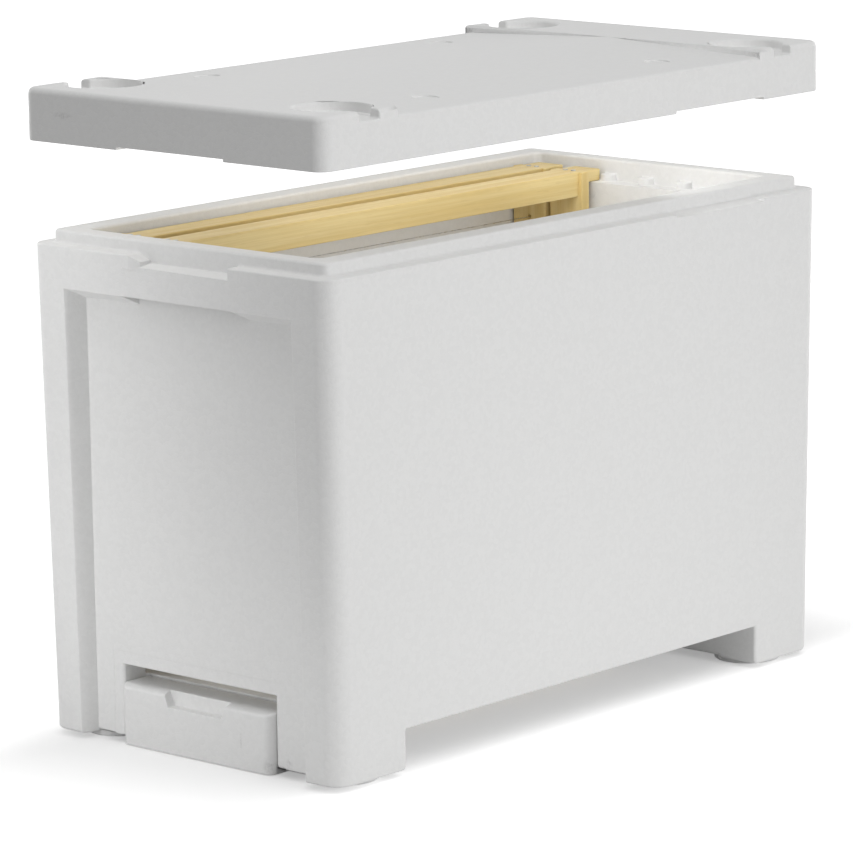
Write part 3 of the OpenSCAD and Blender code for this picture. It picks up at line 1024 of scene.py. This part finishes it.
@dataclass
class HangingFrame:
    """One wired wooden frame.

    Attributes:
        body: Body that it rides on.
        shift: How far its wood pattern is moved.
        bar_shift: How much further the pattern is moved at each bar.
        colour: Colour of the wood.
        shade: Colour of its darker bands.
        roughness: Least and greatest roughness of the wood.
        edge_r: Radius of the bars' edges.
        steps: Steps across each rounding.
        bars: Its bars, and the way their fibres run.
    """

    body: Body
    shift: float
    bar_shift: float = 0.37
    colour: Triple = (0.80, 0.64, 0.31)
    shade: Triple = (0.72, 0.54, 0.22)
    roughness: Pair = (0.38, 0.6)
    edge_r: float = 0.7
    steps: int = 2
    bars: dict[str, Fibres] = field(default_factory=lambda: {
        "top_bar": Fibres.LENGTHWISE,
        "bottom_bar": Fibres.LENGTHWISE,
        "front_side_bar": Fibres.UPRIGHT,
        "rear_side_bar": Fibres.UPRIGHT,
    })

    def node(self, part: str) -> str:
        """Names the CAD node of one of the frame's parts."""
        return f"{self.body.value}_{part}"

    def build(self) -> dict[str, bpy.types.Object]:
        """Makes the four bars with eased edges.

        Returns:
            The bars by name.
        """
        made = {}
        for bar in self.bars:
            node = self.node(bar)
            made[bar] = Bench.soft_copy(node, f"wood_{node}", [], self.edge_r, self.steps)
        return made

    def dress(self, bars: dict[str, bpy.types.Object], effects: Effects, metals: FrameMetals) -> None:
        """Finishes the bars in wood, and the wire, nails, tacks and eyelets in metal.

        Args:
            bars: The bars by name.
            effects: The shared node groups.
            metals: The metals.
        """
        for count, (bar, piece) in enumerate(bars.items()):
            wood = WoodFinish(
                f"{self.node(bar)}_pine", self.colour, self.shade, self.roughness,
                fibres=self.bars[bar], shift=self.shift + self.bar_shift * count)
            Bench.hand_over(piece, self.body, Slot.PINE, self.node(bar), wood.material(effects))
        for part, material in metals.parts.items():
            Bench.paint_node(self.node(part), material)


@dataclass(frozen=True)
class Lamp:
    """A soft studio lamp.

    Attributes:
        name: Name of the lamp.
        place: Where it stands, in metres.
        aim: Point that it faces.
        size: Width and height of its face.
        power: Power in watts.
        reach: Pieces that it lights.
        roof_shades: Whether the raised roof shades it.
        spread: Angle of its beam in degrees.
    """

    name: str
    place: Triple
    aim: Triple
    size: Pair
    power: float
    reach: Reach = Reach.EVERYTHING
    roof_shades: bool = True
    spread: float = 180.0


@dataclass
class Studio:
    """Pale floor, soft light and the camera.

    Attributes:
        floor_size: Width of the floor in metres.
        paint: Colour of the floor.
        paint_roughness: Roughness of the floor.
        ambient: Strength of the even light.
        glow_front: Glow of the floor beside the front of the box, kept low to paint a shadow there.
        glow_back: Glow of the floor beside the rest of it, kept low to paint a shadow there.
        glow_turn: Y at which the one passes into the other, in metres.
        foot: Half width and length of the floor under the box, in millimetres.
        fade: Way from there to the white floor, over which the painted shadow fades out, in millimetres.
        lamps: The lamps.
        yaw: Turn of the camera around the box, in degrees.
        pitch: Height of the camera as an angle, in degrees.
        roll: Tilt of the camera, in degrees.
        target: Point that the camera faces, in metres.
        distance: Way from there to the camera, in metres.
        focal_px: Focal length in pixels of the photograph.
        width_px: Width of the photograph in pixels.
        sensor: Width of the camera's sensor in millimetres.
        sight: How far the camera sees, in metres.
    """

    floor_size: float = 24.0
    paint: Triple = (0.85, 0.85, 0.85)
    paint_roughness: float = 0.9
    ambient: float = 0.4
    glow_front: float = 0.44
    glow_back: float = 0.31
    glow_turn: Pair = (-0.36, -0.1)
    foot: Triple = (100.0, 275.0, 0.0)
    fade: Triple = (120.0, 300.0, 1.0)
    lamps: tuple[Lamp, ...] = (
        Lamp("side_lamp", (2.6, 0.05, 0.45), (0.145, 0.05, 0.25), (0.6, 1.0), 21.5, roof_shades=False),
        Lamp("top_lamp", (0.0, -0.3, 2.3), (0.0, 0.0, 0.3), (1.6, 1.6), 13.0,
             reach=Reach.OBJECT_ONLY, roof_shades=False),
        Lamp("left_lamp", (-2.6, 0.05, 0.4), (-0.145, 0.05, 0.25), (0.6, 1.0), 15.0,
             reach=Reach.OBJECT_ONLY),
        Lamp("back_lamp", (0.05, 2.7, 0.4), (0.0, 0.275, 0.25), (0.6, 1.0), 13.0,
             reach=Reach.OBJECT_ONLY),
        Lamp("front_strip", (-0.13, -0.455, 0.45), (-0.13, -0.275, 0.45), (0.06, 0.9), 0.42,
             reach=Reach.BOX_ONLY),
        Lamp("rim_strip", (-0.13, -0.5, 0.72), (-0.13, -0.275, 0.36), (0.06, 0.2), 0.1,
             reach=Reach.BOX_ONLY),
        Lamp("block_lamp", (0.02, -0.45, 0.05), (0.02, -0.275, 0.04), (0.3, 0.05), 0.08,
             reach=Reach.BOX_ONLY),
        Lamp("bar_lamp", (-0.02, 0.05, 0.42), (-0.113, 0.05, 0.362), (0.36, 0.03), 0.07,
             reach=Reach.BOX_ONLY, roof_shades=False),
        Lamp("rear_lamp", (0.06, 0.09, 0.43), (0.06, 0.25, 0.362), (0.1, 0.03), 0.06,
             reach=Reach.BOX_ONLY, roof_shades=False, spread=110.0),
        Lamp("inside_lamp", (0.105, 0.0, 0.26), (-0.1, 0.0, 0.27), (0.36, 0.12), 0.2,
             reach=Reach.BOX_ONLY, roof_shades=False),
        Lamp("side_bounce", (0.55, 0.0, 0.55), (0.53, 0.0, 0.0), (0.4, 0.7), 1.7,
             reach=Reach.FLOOR_ONLY, roof_shades=False),
    )
    yaw: float = 41.778
    pitch: float = 10.957
    roll: float = -0.7925
    target: Triple = (0.1261, -0.1546, 0.2417)
    distance: float = 3.4725
    focal_px: float = 4961.33
    width_px: float = 853.0
    sensor: float = 36.0
    sight: float = 100.0

    def build_floor(self) -> bpy.types.Object:
        """Lays the floor, white to the camera far off and grey near the box, from its real shade and a
        painted shadow.

        Returns:
            The floor.
        """
        bpy.ops.object.select_all(action="DESELECT")
        bpy.ops.mesh.primitive_plane_add(size=self.floor_size)
        floor = bpy.context.object
        floor.name = "studio_floor"
        material = bpy.data.materials.new("floor_paint")
        material.use_nodes = True
        w = Wiring(material.node_tree)
        paint = material.node_tree.nodes["Principled BSDF"]
        paint.inputs["Base Color"].default_value = opaque(self.paint)
        paint.inputs["Roughness"].default_value = self.paint_roughness
        paint.inputs["Specular IOR Level"].default_value = 0.0
        glow = w.add("ShaderNodeEmission")
        place = w.add("ShaderNodeTexCoord").outputs["Object"]
        # Painted shadow: the camera-only glow is kept low under and beside the box and rises to white over
        # the fade, darkening the floor where the box's shade falls.
        past = w.vector("SUBTRACT", w.vector("ABSOLUTE", place), metres(self.foot))
        outside = w.vector("MAXIMUM", past, (0.0, 0.0, 0.0))
        away = w.vector("LENGTH", w.vector("DIVIDE", outside, metres(self.fade)))
        along = w.add("ShaderNodeSeparateXYZ")
        w.feed(along.inputs[0], place)
        near = w.ramp(along.outputs["Y"], *self.glow_turn, self.glow_front, self.glow_back)
        level = w.ramp(away, 0.0, 1.0, near, 1.0)
        w.feed(glow.inputs["Strength"], w.math("MULTIPLY", self._seen(w), level))
        both = w.add("ShaderNodeAddShader")
        w.feed(both.inputs[0], paint.outputs[0])
        w.feed(both.inputs[1], glow.outputs[0])
        w.feed(material.node_tree.nodes["Material Output"].inputs["Surface"], both.outputs[0])
        floor.data.materials.append(material)
        return floor

    @staticmethod
    def _seen(wiring: Wiring) -> Socket:
        """Gives 1 for rays that show a backdrop: from the camera, off gloss and through glass.

        Args:
            wiring: Wiring of the backdrop's shader.

        Returns:
            The value.
        """
        path = wiring.add("ShaderNodeLightPath")
        first = wiring.math("MAXIMUM", path.outputs["Is Camera Ray"], path.outputs["Is Glossy Ray"])
        return wiring.math("MAXIMUM", first, path.outputs["Is Transmission Ray"])

    def build_world(self) -> None:
        """Surrounds the box with even light, white where it is seen."""
        world = bpy.data.worlds.new("studio_air")
        bpy.context.scene.world = world
        world.use_nodes = True
        w = Wiring(world.node_tree)
        air = world.node_tree.nodes["Background"]
        air.inputs["Color"].default_value = (1.0, 1.0, 1.0, 1.0)
        w.feed(air.inputs["Strength"], w.ramp(self._seen(w), 0.0, 1.0, self.ambient, 1.0))

    def build_lamps(self, pieces: dict[Reach, Sequence[bpy.types.Object]], roof: bpy.types.Object) -> None:
        """Hangs the lamps.

        Args:
            pieces: Pieces that a lamp of a narrower reach lights.
            roof: The raised roof.
        """
        for lamp in self.lamps:
            bpy.ops.object.select_all(action="DESELECT")
            bpy.ops.object.light_add(type="AREA", location=lamp.place)
            light = bpy.context.object
            light.name = lamp.name
            light.data.shape = "RECTANGLE"
            light.data.size, light.data.size_y = lamp.size
            light.data.energy = lamp.power
            light.data.spread = math.radians(lamp.spread)
            light.visible_camera = False
            way = Vector(lamp.aim) - Vector(lamp.place)
            light.rotation_euler = way.to_track_quat("-Z", "Y").to_euler()
            if lamp.reach in pieces:
                lit = bpy.data.collections.new(lamp.name + "_lit")
                for piece in pieces[lamp.reach]:
                    lit.objects.link(piece)
                light.light_linking.receiver_collection = lit
            if not lamp.roof_shades:
                clear = bpy.data.collections.new(lamp.name + "_clear")
                clear.objects.link(roof)
                clear.collection_objects[0].light_linking.link_state = "EXCLUDE"
                light.light_linking.blocker_collection = clear

    def build_camera(self) -> None:
        """Stands the camera where the photograph was taken from."""
        yaw, pitch, roll = (math.radians(angle) for angle in (self.yaw, self.pitch, self.roll))
        level = math.cos(pitch)
        back = Vector((math.sin(yaw) * level, -math.cos(yaw) * level, math.sin(pitch)))
        right = (-back).cross(Vector((0.0, 0.0, 1.0))).normalized()
        up = right.cross(-back)
        across = math.cos(roll) * right + math.sin(roll) * up
        above = math.cos(roll) * up - math.sin(roll) * right
        place = Vector(self.target) + back * self.distance
        bpy.ops.object.select_all(action="DESELECT")
        bpy.ops.object.camera_add()
        camera = bpy.context.object
        camera.data.sensor_fit = "HORIZONTAL"
        camera.data.sensor_width = self.sensor
        camera.data.lens = self.focal_px * self.sensor / self.width_px
        camera.data.clip_end = self.sight
        camera.matrix_world = Matrix((across, above, back)).transposed().to_4x4()
        camera.matrix_world.translation = place
        bpy.context.scene.camera = camera
        bpy.context.scene.view_settings.view_transform = "Standard"


def main() -> None:
    """Builds and dresses every piece, then sets up the studio."""
    logging.basicConfig(level=logging.INFO, format="%(message)s")
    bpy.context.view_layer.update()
    effects = Effects()

    foam = {}
    for moulding in (HiveBody(), Roof(), EntranceBlock()):
        foam[moulding.body] = moulding.build()
        moulding.dress(foam[moulding.body], effects)
    FloorVent().dress(effects)

    metals = FrameMetals.make(effects)
    lit = [foam[Body.BOX], foam[Body.BLOCK]]
    for hanging in (HangingFrame(Body.FRAME_A, shift=0.0), HangingFrame(Body.FRAME_B, shift=1.9)):
        bars = hanging.build()
        hanging.dress(bars, effects, metals)
        lit.extend(bars.values())
        lit.extend(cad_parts[hanging.node(part)] for part in metals.parts)

    studio = Studio()
    floor = studio.build_floor()
    studio.build_world()
    roof = foam[Body.ROOF]
    reaches = {Reach.OBJECT_ONLY: [*lit, roof], Reach.BOX_ONLY: lit, Reach.FLOOR_ONLY: [floor]}
    studio.build_lamps(reaches, roof)
    studio.build_camera()


if __name__ == "__main__":
    main()
